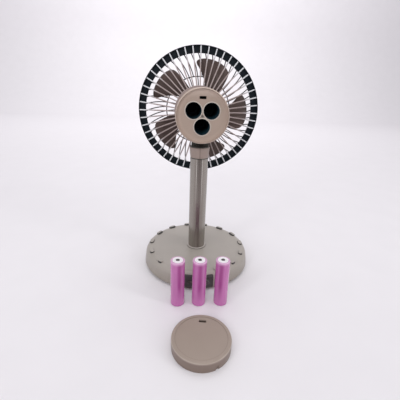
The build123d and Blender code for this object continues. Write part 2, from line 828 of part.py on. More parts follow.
with BuildPart() as guard_screws:
    with BuildSketch(across(hub_plate_front + screw_head_height)):
        with PolarLocations(guard_screw_circle, guard_screw_count, start_angle=90):
            Circle(screw_head_radius)
    extrude(amount=screw_head_height)
    with BuildSketch(across(hub_plate_front)):
        with PolarLocations(guard_screw_circle, guard_screw_count, start_angle=90):
            Circle(screw_radius)
    extrude(amount=screw_length)
save(guard_screws, "guard_screws")

# Front guard: leaning ribs cut from a domed shell, with a rim band, a middle ring and a boss
dome_foot_radius = guard_radius - dome_inset
dome_shoulder_radius = dome_foot_radius - dome_shoulder_inset
dome_back = dome_front - rib_depth


# How far a front rib leans at a given radius, in degrees
def lean(radius):
    share = (radius - front_boss_radius) / (dome_foot_radius - front_boss_radius)
    return -rib_lean * share**2


# Middle line of a front rib between two radii
def rib_line(inner_radius, outer_radius):
    radii = (inner_radius, (inner_radius + outer_radius) / 2, outer_radius)
    return ThreePointArc(*[clock_point(radius, lean(radius)) for radius in radii])


with BuildPart() as front_guard:
    with BuildSketch(fan_section):
        with BuildLine():
            outer_turn = TangentArc(
                (band_front, dome_foot_radius),
                (band_front + dome_shoulder_depth, dome_shoulder_radius),
                tangent=(1, 0),
            )
            outer_crown = TangentArc(
                outer_turn @ 1, (dome_front, front_boss_radius), tangent=outer_turn % 1
            )
            Polyline(
                outer_crown @ 1,
                (dome_front, front_boss_radius - rib_depth),
                (dome_back, front_boss_radius - rib_depth),
                (dome_back, front_boss_radius),
            )
            inner_turn = TangentArc(
                (band_front, dome_foot_radius - rib_depth),
                (
                    band_front + dome_shoulder_depth - rib_depth,
                    dome_shoulder_radius - rib_depth,
                ),
                tangent=(1, 0),
            )
            TangentArc(inner_turn @ 1, (dome_back, front_boss_radius), tangent=inner_turn % 1)
            Line(inner_turn @ 0, outer_turn @ 0)
        make_face()
    revolve(axis=fan_axis)
    ring_place = outer_crown @ front_ring_share
    inner_rib = rib_line(front_boss_radius - rib_depth / 2, ring_place.Y)
    outer_rib = rib_line(ring_place.Y, dome_foot_radius)
    with BuildSketch(across(dome_front + overrun)):
        with PolarLocations(0, front_rib_count):
            SlotArc(outer_rib, front_rib_width)
        with PolarLocations(0, front_rib_count // 2):
            SlotArc(inner_rib, front_rib_width)
    extrude(amount=dome_depth + 2 * overrun, mode=Mode.INTERSECT)
    with BuildSketch(fan_section):
        with Locations((ring_place.X - rib_depth / 2, ring_place.Y)):
            Circle(front_ring_radius)
    revolve(axis=fan_axis)
    with BuildSketch(across(dome_front + front_boss_proud)):
        Circle(front_boss_radius)
    extrude(amount=rib_depth + 2 * front_boss_proud)
    with BuildSketch(across(band_front)):
        Circle(guard_radius)
        Circle(band_inner_radius, mode=Mode.SUBTRACT)
    extrude(amount=band_thickness)
save(front_guard, "front_guard")

# Impeller: a hub cup with five leaning blades, each a twisted sheet cut to its outline
blade_root_middle = (blade_root_start + blade_root_end) / 2
blade_tip_middle = (blade_tip_start + blade_tip_end) / 2
blade_step = 360 / blade_count
section_radii = (hub_radius - hub_wall / 2, blade_tip_radius + overrun)
section_angles = (blade_root_middle, blade_tip_middle)
section_pitches = (root_pitch, tip_pitch)
section_chords = (root_chord, tip_chord)
section_cambers = (root_camber, tip_camber)
with BuildPart() as blades:
    for blade in range(blade_count):
        for station in range(len(section_radii)):
            angle = math.radians(section_angles[station] + blade * blade_step)
            radius = section_radii[station]
            pitch = math.radians(section_pitches[station])
            half_run = section_chords[station] / 2 * math.cos(pitch)
            half_rise = section_chords[station] / 2 * math.sin(pitch)
            camber = section_cambers[station]
            spoke = (math.sin(angle), 0, math.cos(angle))
            middle = (
                radius * spoke[0],
                blade_middle,
                axis_height + radius * spoke[2],
            )
            station_plane = Plane(origin=middle, x_dir=(spoke[2], 0, -spoke[0]), z_dir=spoke)
            with BuildSketch(station_plane):
                with BuildLine():
                    rear_face = ThreePointArc(
                        (half_run, -half_rise), (0, -camber), (-half_run, half_rise)
                    )
                    front_face = ThreePointArc(
                        (-half_run, half_rise + blade_thickness),
                        (0, blade_thickness - camber),
                        (half_run, blade_thickness - half_rise),
                    )
                    Line(rear_face @ 1, front_face @ 0)
                    Line(front_face @ 1, rear_face @ 0)
                make_face()
        loft()
    with BuildSketch(across(hub_front + hub_length)) as blade_outlines:
        for blade in range(blade_count):
            turn = blade * blade_step
            with BuildLine():
                Polyline(
                    clock_point(hub_radius - hub_wall, blade_root_start + turn),
                    clock_point(blade_tip_radius, blade_tip_start + turn),
                )
                ThreePointArc(
                    clock_point(blade_tip_radius, blade_tip_start + turn),
                    clock_point(blade_tip_radius, blade_tip_middle + turn),
                    clock_point(blade_tip_radius, blade_tip_end + turn),
                )
                Polyline(
                    clock_point(blade_tip_radius, blade_tip_end + turn),
                    clock_point(hub_radius - hub_wall, blade_root_end + turn),
                    clock_point(hub_radius - hub_wall, blade_root_start + turn),
                )
            make_face()
        tips = blade_outlines.vertices().filter_by(lambda corner: corner.distance_to((0, 0, 0)) > hub_radius)
        fillet(tips, blade_corner)
    extrude(amount=3 * hub_length, mode=Mode.INTERSECT)

with BuildPart() as impeller:
    with BuildSketch(fan_section):
        with BuildLine():
            Polyline(
                (hub_rear, hub_radius),
                (hub_front - hub_edge, hub_radius),
                (hub_front, hub_radius - hub_edge),
                (hub_front, 0),
                (hub_front - hub_wall, 0),
                (hub_front - hub_wall, hub_radius - hub_edge),
                (hub_front - hub_edge, hub_radius - hub_wall),
                (hub_rear, hub_radius - hub_wall),
                close=True,
            )
        make_face()
    revolve(axis=fan_axis)
    add(blades.part)
    with BuildSketch(fan_section):
        with BuildLine():
            Polyline(
                (hub_rear - hub_length, 0),
                (hub_front - hub_wall, 0),
                (hub_front - hub_wall, hub_radius - hub_edge),
                (hub_front - hub_edge, hub_radius - hub_wall),
                (hub_rear - hub_length, hub_radius - hub_wall),
                close=True,
            )
        make_face()
    revolve(axis=fan_axis, mode=Mode.SUBTRACT)
    with BuildSketch(across(hub_front - hub_wall)):
        Circle(hub_boss_radius)
    extrude(amount=hub_front - hub_wall - motor_front - motor_nose_height - slide_gap)
    with BuildSketch(across(motor_front + shaft_reach)):
        Circle(shaft_radius + running_gap)
    extrude(amount=shaft_reach, mode=Mode.SUBTRACT)
save(impeller, "impeller")

# Battery cover: a cap with a finger slot, open below
cover_plane = Plane(origin=(cover_place_x, cover_place_y, 0)).rotated((0, 0, -cover_turn))
with BuildPart() as battery_cover:
    with BuildSketch(cover_plane):
        Circle(cover_radius)
    extrude(amount=cover_height)
    fillet(battery_cover.faces().sort_by(Axis.Z)[-1].edges(), cover_edge)
    with BuildSketch(cover_plane):
        Circle(cover_radius - cover_wall)
    extrude(amount=cover_height - cover_face, mode=Mode.SUBTRACT)
    with BuildSketch(cover_plane.offset(cover_height)):
        Circle(cover_radius - cover_panel_inset)
    extrude(amount=-cover_panel_depth, mode=Mode.SUBTRACT)
    with BuildSketch(cover_plane.offset(cover_height)):
        with Locations((0, latch_offset)):
            RectangleRounded(latch_width, latch_height, latch_corner)
    extrude(amount=-(cover_face + overrun), mode=Mode.SUBTRACT)
    with BuildSketch(cover_plane):
        with PolarLocations(cover_radius, 2, start_angle=bayonet_angle - 90):
            Rectangle(2 * bayonet_depth, bayonet_width + 2 * slide_gap)
    extrude(amount=recess_depth + overrun, mode=Mode.SUBTRACT)
save(battery_cover, "battery_cover")

# Contact sheet inside the cover, with three bent leaves for the cells
contact_top = cover_height - cover_face
with BuildPart() as cover_contact:
    with BuildSketch(cover_plane.offset(contact_top)):
        Circle(bay_circle + bay_radius / 2)
        Circle(cover_contact_bore, mode=Mode.SUBTRACT)
    extrude(amount=-cover_contact_thickness)
    for leaf in range(3):
        turn = math.radians(90 - cover_turn + leaf * 120)
        out = (math.cos(turn), math.sin(turn), 0)
        leaf_origin = (
            cover_place_x + bay_circle * out[0],
            cover_place_y + bay_circle * out[1],
            contact_top,
        )
        leaf_plane = Plane(origin=leaf_origin, x_dir=out, z_dir=(out[1], -out[0], 0))
        with BuildSketch(leaf_plane):
            with BuildLine():
                Polyline(
                    (-cover_leaf_length / 2, 0),
                    (cover_leaf_length / 2, -cover_leaf_drop),
                    (cover_leaf_length / 2, -cover_leaf_drop - cover_contact_thickness),
                    (-cover_leaf_length / 2, -cover_contact_thickness),
                    close=True,
                )
            make_face()
        extrude(amount=cover_leaf_width / 2, both=True)
save(cover_contact, "cover_contact")

# Cells: a wrapped can, a white insulating ring and a metal button each
for place, share in cell_place_shares.items():
    cell_plane = Plane(origin=(share * cell_pitch, cell_row, 0))
    pocket_floor = cell_length - cell_pocket_depth
    with BuildPart() as cell_wrap:
        with BuildSketch(cell_plane):
            Circle(cell_radius)
        extrude(amount=cell_length)
        rims = cell_wrap.edges().filter_by(GeomType.CIRCLE)
        fillet(rims, cell_edge)
        with BuildSketch(cell_plane.offset(pocket_floor)):
            Circle(cell_pocket_radius)
        extrude(amount=cell_pocket_depth + overrun, mode=Mode.SUBTRACT)
    save(cell_wrap, f"cell_{place}_wrap")
    with BuildPart() as cell_ring:
        with BuildSketch(cell_plane.offset(pocket_floor)):
            Circle(cell_pocket_radius - running_gap)
            Circle(cell_ring_bore, mode=Mode.SUBTRACT)
        extrude(amount=cell_ring_thickness)
    save(cell_ring, f"cell_{place}_ring")
    with BuildPart() as cell_cap:
        with BuildSketch(cell_plane.offset(pocket_floor)):
            Circle(cell_cap_radius)
        extrude(amount=cell_cap_height)
    save(cell_cap, f"cell_{place}_cap")
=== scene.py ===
import json
import math

import bpy
import numpy as np
from mathutils import Matrix, Vector


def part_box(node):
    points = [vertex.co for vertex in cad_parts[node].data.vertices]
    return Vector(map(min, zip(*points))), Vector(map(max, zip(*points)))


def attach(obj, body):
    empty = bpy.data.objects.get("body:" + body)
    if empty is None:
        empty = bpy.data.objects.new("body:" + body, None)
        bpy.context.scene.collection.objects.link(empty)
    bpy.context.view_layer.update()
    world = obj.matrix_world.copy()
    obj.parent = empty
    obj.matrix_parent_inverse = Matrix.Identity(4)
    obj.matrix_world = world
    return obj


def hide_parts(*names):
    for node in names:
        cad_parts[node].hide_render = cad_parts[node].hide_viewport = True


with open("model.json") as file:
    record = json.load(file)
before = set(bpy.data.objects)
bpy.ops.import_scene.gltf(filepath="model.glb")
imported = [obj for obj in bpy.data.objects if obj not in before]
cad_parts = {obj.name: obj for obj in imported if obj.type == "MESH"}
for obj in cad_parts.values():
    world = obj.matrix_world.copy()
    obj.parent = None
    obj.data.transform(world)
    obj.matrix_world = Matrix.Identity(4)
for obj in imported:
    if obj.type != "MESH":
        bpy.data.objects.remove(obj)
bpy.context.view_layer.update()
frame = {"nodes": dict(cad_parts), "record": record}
nodes = frame["nodes"]
scene = bpy.context.scene
mm = 0.001
print("frame loaded:", len(nodes), "nodes")


# one value or colour in a material's node tree; arithmetic on values adds Math nodes
class Link:
    def __init__(self, tree, socket):
        self.tree = tree
        self.socket = socket

    # a node of any type: settings first, then its sockets by name or number
    def node(self, kind, settings, sockets, out=0):
        made = self.tree.nodes.new(kind)
        for name, setting in settings.items():
            setattr(made, name, setting)
        for name, value in sockets.items():
            if isinstance(value, Link):
                self.tree.links.new(value.socket, made.inputs[name])
            else:
                made.inputs[name].default_value = value
        return Link(self.tree, made.outputs[out])

    def maths(self, operation, first, second=0.0):
        return self.node("ShaderNodeMath", {"operation": operation}, {0: first, 1: second})

    def __add__(self, other):
        return self.maths("ADD", self, other)

    def __radd__(self, other):
        return self.maths("ADD", other, self)

    def __sub__(self, other):
        return self.maths("SUBTRACT", self, other)

    def __rsub__(self, other):
        return self.maths("SUBTRACT", other, self)

    def __mul__(self, other):
        return self.maths("MULTIPLY", self, other)

    def __rmul__(self, other):
        return self.maths("MULTIPLY", other, self)

    def __truediv__(self, other):
        return self.maths("DIVIDE", self, other)

    def __rtruediv__(self, other):
        return self.maths("DIVIDE", other, self)

    def __pow__(self, other):
        return self.maths("POWER", self, other)

    def __rpow__(self, other):
        return self.maths("POWER", other, self)

    def larger(self, other):
        return self.maths("MAXIMUM", self, other)

    def noise(self, scale, detail):
        return self.node("ShaderNodeTexNoise", {}, {"Vector": self, "Scale": scale, "Detail": detail})

    def stretched(self, scale):
        return self.node("ShaderNodeMapping", {}, {"Vector": self, "Scale": scale})

    # 0 below low, 1 above high
    def rise(self, low, high):
        return self.node("ShaderNodeMapRange", {}, {"Value": self, "From Min": low, "From Max": high})

    # 1 below low, 0 above high
    def fall(self, low, high):
        return 1.0 - self.rise(low, high)

    # 1 from low to high, fading over soft at both ends
    def inside(self, low, high, soft):
        return self.rise(low - soft, low + soft) * self.fall(high - soft, high + soft)

    def mixed(self, first, second):
        return self.node("ShaderNodeMix", {"data_type": "RGBA"}, {"Factor": self, 6: first, 7: second}, 2)

    # one of the three coordinates: 0 for x, 1 for y, 2 for z
    def along(self, axis):
        return self.node("ShaderNodeSeparateXYZ", {}, {"Vector": self}, axis)

    # distance from a line along y (axis 1) or z (axis 2) through a point
    def awayFrom(self, middle, axis):
        across = [number for number in range(3) if number != axis]
        first, second = (self.along(number) - middle[number] for number in across)
        return (first * first + second * second) ** 0.5


def newMaterial(name):
    material = bpy.data.materials.new(name)
    material.use_nodes = True
    tree = material.node_tree
    shader = tree.nodes["Principled BSDF"]
    place = Link(tree, tree.nodes.new("ShaderNodeTexCoord").outputs["Object"])
    return material, tree, shader, place


def feed(tree, shader, values):
    for name, value in values.items():
        if isinstance(value, Link):
            tree.links.new(value.socket, shader.inputs[name])
        else:
            shader.inputs[name].default_value = value


def shade(colour, factor):
    return (colour[0] * factor, colour[1] * factor, colour[2] * factor, 1.0)


# moulded plastic: slow cloudy tone, fine pebbled grain and faint rubbed streaks
plasticSet = {
    "cloudScale": 16.0, "cloudDetail": 3.0, "cloudRange": (0.3, 0.7), "cloudRough": 0.08,
    "rubStretch": (60.0, 60.0, 900.0), "rubDetail": 3.0, "rubRange": (0.55, 0.8), "rubRough": 0.06,
    "pebbleDetail": 2.0, "bumpStrength": 0.6, "coatRough": 0.12,
}


def mouldedPlastic(name, colour, rough, grain=0.00002, grainScale=1500.0, tone=0.05,
                   coat=0.0, metallic=0.0, specular=0.5, patches=()):
    material, tree, shader, place = newMaterial(name)
    cloud = place.noise(plasticSet["cloudScale"], plasticSet["cloudDetail"])
    pebble = place.noise(grainScale, plasticSet["pebbleDetail"])
    rub = place.stretched(plasticSet["rubStretch"]).noise(1.0, plasticSet["rubDetail"])
    rub = rub.rise(*plasticSet["rubRange"])
    paint = cloud.rise(*plasticSet["cloudRange"]).mixed(shade(colour, 1.0 - tone), shade(colour, 1.0 + tone))
    for where, patchColour in patches:
        paint = where(place).mixed(paint, (*patchColour, 1.0))
    bump = place.node("ShaderNodeBump", {}, {
        "Strength": plasticSet["bumpStrength"], "Distance": grain, "Height": pebble})
    feed(tree, shader, {
        "Base Color": paint,
        "Roughness": rough + plasticSet["cloudRough"] * (cloud - 0.5) + plasticSet["rubRough"] * rub,
        "Normal": bump,
        "Metallic": metallic,
        "Specular IOR Level": specular,
        "Coat Weight": coat,
        "Coat Roughness": plasticSet["coatRough"],
    })
    return material


# bare metal: brushed streaks along z and a slow change of polish
metalSet = {
    "brushStretch": (2200.0, 2200.0, 90.0), "brushDetail": 2.0, "brushRange": (0.2, 0.8), "brushTones": (0.9, 1.08),
    "brushRough": 0.15, "cloudScale": 120.0, "cloudDetail": 2.0, "cloudRough": 0.1,
    "bumpStrength": 0.4, "bumpDistance": 0.00001,
}


def bareMetal(name, colour, rough):
    material, tree, shader, place = newMaterial(name)
    brush = place.stretched(metalSet["brushStretch"]).noise(1.0, metalSet["brushDetail"])
    cloud = place.noise(metalSet["cloudScale"], metalSet["cloudDetail"])
    bump = place.node("ShaderNodeBump", {}, {
        "Strength": metalSet["bumpStrength"], "Distance": metalSet["bumpDistance"], "Height": brush})
    tones = [shade(colour, factor) for factor in metalSet["brushTones"]]
    feed(tree, shader, {
        "Base Color": brush.rise(*metalSet["brushRange"]).mixed(*tones),
        "Roughness": rough + metalSet["brushRough"] * (brush - 0.5) + metalSet["cloudRough"] * (cloud - 0.5),
        "Metallic": 1.0,
        "Normal": bump,
    })
    return material


# a pair of places in millimetres, counted from a start in metres
def metres(pair, start=0.0):
    return start + pair[0] * mm, start + pair[1] * mm


# marks: where a finish changes its colour, in millimetres unless it is a share, and a phase in degrees
motorLow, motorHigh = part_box("motor_can")
axisHeight = (motorLow.z + motorHigh.z) / 2  # the fan's axis runs along +y at this height
fanMiddle = (0.0, 0.0, axisHeight)

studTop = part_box("rim_studs")[1].z
studMarks = {
    "count": 15, "phase": 14.1, "radius": 73.0, "bevel": (-0.5, -0.3),
    "innerSide": (-2.6, -1.8), "innerTop": (-1.2, -0.4), "rearEnd": (-2.4, -1.7), "corner": (-2.6, -1.8),
    "farShare": (0.15, 0.45), "nearShare": (0.45, 0.55), "nearestShare": (0.75, 0.85),
}


# painted shade on the studs' faces: the side towards the pole, with part of the top on the far studs,
# and the end towards -y, which shrinks to the outer corner on the near studs and is missing on the nearest
def studShadeFaces(place):
    radius, phase = studMarks["radius"] * mm, math.radians(studMarks["phase"])
    step = 2.0 * math.pi / studMarks["count"]
    x, y = place.along(0), place.along(1)
    turned = (place.maths("ARCTAN2", x, y) - phase) / step
    bearing = place.maths("ROUND", turned) * step + phase  # of the nearest stud, from +y
    sine, cosine = place.maths("SINE", bearing), place.maths("COSINE", bearing)
    outwards = x * sine + y * cosine - radius
    sideways = (x - radius * sine) * sine
    near = (0.0 - cosine).rise(*studMarks["nearShare"])
    nearest = (0.0 - cosine).rise(*studMarks["nearestShare"])
    inner = outwards.fall(*metres(studMarks["innerSide"])) * (1.0 - near)
    innerTop = outwards.fall(*metres(studMarks["innerTop"])) * cosine.rise(*studMarks["farShare"])
    rear = (y - radius * cosine).fall(*metres(studMarks["rearEnd"]))
    rear = rear * (1.0 - near * sideways.fall(*metres(studMarks["corner"]))) * (1.0 - nearest)
    low = place.along(2).fall(*metres(studMarks["bevel"], studTop))
    return (low * inner.larger(rear)).larger(innerTop)


wallMarks = {"low": (4.0, 24.0)}


# painted shade low on the wall of the base, darker towards the bottom
def wallShadeLow(place):
    return place.along(2).fall(*metres(wallMarks["low"]))


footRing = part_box("pole_foot_ring")[1]
footMarks = {"outer": (-0.9, -0.5), "shadowBand": (-0.8, -0.6)}


# the outer part of the ring at the pole's foot, and painted contact shadow on the ring's side below its top
def footOuter(place):
    return place.awayFrom((0.0, 0.0, 0.0), 2).rise(*metres(footMarks["outer"], footRing.x))


def footShadow(place):
    return place.along(2).fall(*metres(footMarks["shadowBand"], footRing.z))


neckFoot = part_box("neck_shell_left")[0].z
poleMarks = {
    "frontShare": (0.6, 0.93), "lines": (3.7, 4.4), "lineSoft": 0.3, "lineHeight": (90.0, 150.0),
    "seam": (-1.5, -1.1), "streakStretch": (420.0, 420.0, 2.5), "streakDetail": 2.0,
    "streakRange": (0.45, 0.75), "streakShare": 0.5,
}


# painted dark reflection on the front and back of the pole: 1 where it faces along y, 0 where it faces along x
def poleFrontReflection(place):
    x, y = place.along(0), place.along(1)
    return (y * y / (x * x + y * y)).rise(*poleMarks["frontShare"])


# painted highlight: two thin bright lines down the upper part of the pole
def poleHighlightLines(place):
    line = place.maths("ABSOLUTE", place.along(0)).inside(*metres(poleMarks["lines"]), poleMarks["lineSoft"] * mm)
    return line * place.along(2).rise(*metres(poleMarks["lineHeight"]))


# the dark seam under the neck
def poleSeam(place):
    return place.along(2).rise(*metres(poleMarks["seam"], neckFoot))


# fine lighter upright streaks: partly the grain of a drawn tube and partly painted reflection
def poleGrainAndReflection(place):
    streak = place.stretched(poleMarks["streakStretch"]).noise(1.0, poleMarks["streakDetail"])
    return poleMarks["streakShare"] * streak.rise(*poleMarks["streakRange"])


neckMarks = {"seam": (-0.6, 0.6), "soft": 0.6}


# the parting line of the two halves of the neck
def neckSeam(place):
    return place.along(0).inside(*metres(neckMarks["seam"]), neckMarks["soft"] * mm)


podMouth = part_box("pod_housing")[0].y
podMarks = {"mouth": (3.5, 4.5), "upper": (0.0, 20.0)}


# painted highlight on the upper half of the pod's mouth
def mouthTopHighlight(place):
    mouth = place.along(1).fall(*metres(podMarks["mouth"], podMouth))
    return mouth * place.along(2).rise(*metres(podMarks["upper"], axisHeight))


plateLow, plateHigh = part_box("bay_plate")
plateMiddle = (plateLow + plateHigh) / 2
plateMarks = {"rim": (26.5, 33.5), "top": (-11.0, -1.0), "lip": (11.56, 11.64), "hole": (10.36, 10.44)}
openings = {opening["name"]: opening["box_m"] for opening in frame["record"]["physics"]["openings"]}
bayMiddles = [np.mean(box, 0) for name, box in openings.items() if name.startswith("bay")]


# painted light towards the rim of the bay plate, and on its top close under the rim of the pod, lifting the shade
# the rim casts
def plateRimLight(place):
    return place.awayFrom(plateMiddle, 1).rise(*metres(plateMarks["rim"]))


def plateTopLight(place):
    return place.along(2).rise(*metres(plateMarks["top"], plateHigh.z))


# 1 nearer to the middle line of any bay than the given pair of distances
def nearBays(place, distances):
    first, second, third = (place.awayFrom(middle, 1).fall(*metres(distances)) for middle in bayMiddles)
    return first.larger(second).larger(third)


# painted highlight on the lips round the bays
def bayLipHighlights(place):
    return nearBays(place, plateMarks["lip"])


def bayHoles(place):
    return nearBays(place, plateMarks["hole"])


ribMarks = {"outer": (66.0, 82.0)}


# painted highlight on the outer ends of the rear guard's ribs
def ribOuterHighlight(place):
    return place.awayFrom(fanMiddle, 1).rise(*metres(ribMarks["outer"]))


coverLow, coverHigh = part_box("battery_cover")
coverMiddle = (coverLow + coverHigh) / 2
coverMarks = {
    "edge": (31.4, 32.0), "edgeHeight": (11.6, 12.3), "edgeSoft": 0.2, "side": (9.8, 11.0),
    "step": (28.6, 29.2), "stepSoft": 0.1,
}


# painted light and shade on the cover: a highlight on the rounded edge, shade on the side below it and shade in the
# step round the sunk middle
def coverEdgeHighlight(place):
    edge = place.awayFrom(coverMiddle, 2).rise(*metres(coverMarks["edge"]))
    return edge * place.along(2).inside(*metres(coverMarks["edgeHeight"]), coverMarks["edgeSoft"] * mm)


def coverSideShade(place):
    return place.along(2).fall(*metres(coverMarks["side"]))


def coverStepShade(place):
    return place.awayFrom(coverMiddle, 2).inside(*metres(coverMarks["step"]), coverMarks["stepSoft"] * mm)


cellMarks = {
    "shoulder": (61.2, 64.8), "streakWide": (-2.6, 2.6), "streakSoft": 1.6, "streakHeight": (6.0, 30.0),
    "streakAcross": {"left": 2.76, "middle": 0.736, "right": -2.76},
}


# the shoulder of a cell's film, where it is thinnest
def filmShoulder(place):
    return place.along(2).rise(*metres(cellMarks["shoulder"]))


# painted shade and dark reflection: a darker upright streak on a cell's film, set off from the cell's middle and
# fading towards its foot
def filmShadeStreak(cell):
    low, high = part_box(f"cell_{cell}_wrap")
    middle = (low.x + high.x) / 2 + cellMarks["streakAcross"][cell] * mm

    def where(place):
        streak = place.along(0).inside(*metres(cellMarks["streakWide"], middle), cellMarks["streakSoft"] * mm)
        return streak * place.along(2).rise(*metres(cellMarks["streakHeight"]))
    return where


# finishes: colour, roughness and the patches laid over them
# the base, neck, pod, bay plate and cover share one taupe plastic: their different tones are lit and shaded copies,
# painted lighter on the pod and darker on the neck and cover
taupe = (0.36, 0.327, 0.295)
plastics = {
    # the base's wall carries painted shade towards the bottom
    "shellTaupe": {"colour": taupe, "rough": 0.36, "patches": [(wallShadeLow, (0.285, 0.25, 0.215))]},
    # the ring at the pole's foot carries a near-black painted contact shadow low on its side
    "footTaupe": {"colour": (0.45, 0.405, 0.38), "rough": 0.36, "patches": [
        (footOuter, taupe), (footShadow, (0.02, 0.018, 0.017))]},
    # the studs' faces carry near-black painted shade
    "studTaupe": {"colour": taupe, "rough": 0.36, "patches": [(studShadeFaces, (0.04, 0.038, 0.036))]},
    # the pod's mouth carries a painted highlight on its upper half
    "podTaupe": {"colour": (0.42, 0.332, 0.28), "rough": 0.38, "patches": [(mouthTopHighlight, (0.53, 0.424, 0.36))]},
    "neckTaupe": {"colour": (0.3, 0.233, 0.204), "rough": 0.38, "patches": [(neckSeam, (0.19, 0.142, 0.125))]},
    # the bay plate carries painted light at its rim and top, and a painted highlight on the bay lips
    "plateTaupe": {"colour": (0.367, 0.283, 0.235), "rough": 0.38, "patches": [
        (plateRimLight, (0.468, 0.36, 0.3)), (plateTopLight, (0.5, 0.4, 0.345)),
        (bayLipHighlights, (0.54, 0.485, 0.43)), (bayHoles, (0.004, 0.005, 0.007))]},
    # the cover carries painted shade on its side and step and a painted highlight on its edge
    "coverTaupe": {"colour": (0.315, 0.252, 0.213), "rough": 0.38, "patches": [
        (coverSideShade, (0.215, 0.158, 0.13)), (coverEdgeHighlight, (0.44, 0.36, 0.31)), (coverStepShade, (0.25, 0.195, 0.165))]},
    # the pole carries a painted dark reflection front and back, painted highlight lines and lighter streaks that
    # are partly painted reflection
    "poleGloss": {"colour": (0.325, 0.3, 0.27), "rough": 0.19, "grain": 0.000002, "metallic": 0.75, "patches": [
        (poleFrontReflection, (0.205, 0.175, 0.158)), (poleGrainAndReflection, (0.385, 0.36, 0.33)),
        (poleHighlightLines, (0.68, 0.65, 0.6)), (poleSeam, (0.04, 0.033, 0.03))]},
    # the rear ribs carry a painted highlight at their outer ends
    "ribTaupe": {"colour": (0.34, 0.272, 0.262), "rough": 0.35, "grainScale": 2500.0, "patches": [
        (ribOuterHighlight, (0.68, 0.69, 0.72))]},
    "bandDark": {"colour": (0.006, 0.0095, 0.0135), "rough": 0.5, "specular": 0.12},
    "ribDark": {"colour": (0.06, 0.053, 0.052), "rough": 0.4, "grainScale": 2500.0},
    "bladeBrown": {"colour": (0.12, 0.088, 0.081), "rough": 0.3, "tone": 0.07, "specular": 0.12},
    "hingeDark": {"colour": (0.055, 0.052, 0.044), "rough": 0.4},
    "bayBlack": {"colour": (0.014, 0.055, 0.08), "rough": 0.6},
    "panelDark": {"colour": (0.06, 0.056, 0.055), "rough": 0.5},
    "keyGrey": {"colour": (0.09, 0.085, 0.082), "rough": 0.45},
    "padRubber": {"colour": (0.03, 0.03, 0.03), "rough": 0.8, "grain": 0.00005, "grainScale": 700.0},
    "lampMilk": {"colour": (0.75, 0.74, 0.7), "rough": 0.25},
    "boardGreen": {"colour": (0.02, 0.12, 0.05), "rough": 0.4},
    "ringWhite": {"colour": (0.82, 0.79, 0.82), "rough": 0.6},
    "castIron": {"colour": (0.2, 0.2, 0.2), "rough": 0.55, "grain": 0.00008, "grainScale": 600.0, "metallic": 1.0},
    "floorPale": {"colour": (0.785, 0.762, 0.79), "rough": 0.5, "grain": 0.0, "tone": 0.01},
    "cardBlack": {"colour": (0.02, 0.02, 0.02), "rough": 0.9, "grain": 0.0},
}
metals = {
    "steel": {"colour": (0.62, 0.61, 0.6), "rough": 0.3},
    "darkSteel": {"colour": (0.25, 0.23, 0.21), "rough": 0.4},
    "buttonSteel": {"colour": (0.16, 0.15, 0.145), "rough": 0.4},
    "contactBrass": {"colour": (0.72, 0.6, 0.36), "rough": 0.3},
    # the bay contacts are brass, painted near-black: painted shade deep in the bays
    "contactShadeBlack": {"colour": (0.012, 0.014, 0.018), "rough": 0.45},
}
cells = ("left", "middle", "right")
# each cell's film carries painted shade and dark reflection in an upright streak
for cell in cells:
    plastics["cellPink" + cell.capitalize()] = {
        "colour": (0.495, 0.128, 0.38), "rough": 0.22, "grain": 0.000004, "coat": 0.8, "patches": [
            (filmShadeStreak(cell), (0.35, 0.064, 0.258)), (filmShoulder, (0.66, 0.36, 0.58))]}
finishes = {name: mouldedPlastic(name, **look) for name, look in plastics.items()}
finishes.update({name: bareMetal(name, **look) for name, look in metals.items()})

wears = {
    "base_shell": "shellTaupe", "base_plate": "panelDark", "ballast_weight": "castIron",
    "non_slip_pad": "padRubber", "rim_studs": "studTaupe", "base_screws": "steel", "pole_tube": "poleGloss",
    "pole_foot_ring": "footTaupe", "pole_nut": "hingeDark", "port_panel": "panelDark",
    "charge_port": "darkSteel", "indicator_lens": "lampMilk", "control_board": "boardGreen",
    "tact_switch": "hingeDark", "swivel_spigot": "hingeDark", "power_button": "keyGrey",
    "neck_shell_left": "neckTaupe", "neck_shell_right": "neckTaupe", "neck_screw": "steel",
    "tilt_yoke": "hingeDark", "hinge_pin": "steel", "pod_housing": "podTaupe", "bay_plate": "plateTaupe",
    "battery_cradle": "bayBlack", "bay_contacts": "contactShadeBlack", "bay_screw": "darkSteel",
    "tilt_lug": "hingeDark", "motor_mount": "podTaupe", "rear_guard": "ribTaupe", "front_guard": "bandDark",
    "guard_screws": "steel", "motor_can": "steel", "motor_screws": "steel", "impeller": "bladeBrown",
    "motor_shaft": "steel", "battery_cover": "coverTaupe", "cover_contact": "contactBrass",
    "cradle_floor": "bayBlack", "screw_post": "bayBlack",
}
for cell in cells:
    wears[f"cell_{cell}_wrap"] = "cellPink" + cell.capitalize()
    wears[f"cell_{cell}_ring"] = "ringWhite"
    wears[f"cell_{cell}_cap"] = "buttonSteel"
for name, finish in wears.items():
    nodes[name].data.materials.clear()
    nodes[name].data.materials.append(finishes[finish])
print("finishes on", len(wears), "nodes")


# equal angles round a full turn
def evenTurns(count):
    return np.linspace(0.0, 2.0 * math.pi, count, endpoint=False)


# the value at a share of the way from the first to the second of a pair
def taper(pair, share):
    return pair[0] + (pair[1] - pair[0]) * share


# points round the fan's axis: radius * sine to the right, radius * cosine up from the axis and depth forwards,
# with a clock angle from the top as seen from behind
def roundFan(angle, radius, depth):
    angle, radius, depth = np.broadcast_arrays(angle, radius, depth)
    return np.stack((radius * np.sin(angle), depth, axisHeight + radius * np.cos(angle)), -1)


# points round the upright line through a middle: radius * cosine along x, radius * sine along y
def roundUpright(angle, radius, height, middle):
    angle, radius, height = np.broadcast_arrays(angle, radius, height)
    return np.stack((middle.x + radius * np.cos(angle), middle.y + radius * np.sin(angle), height), -1)


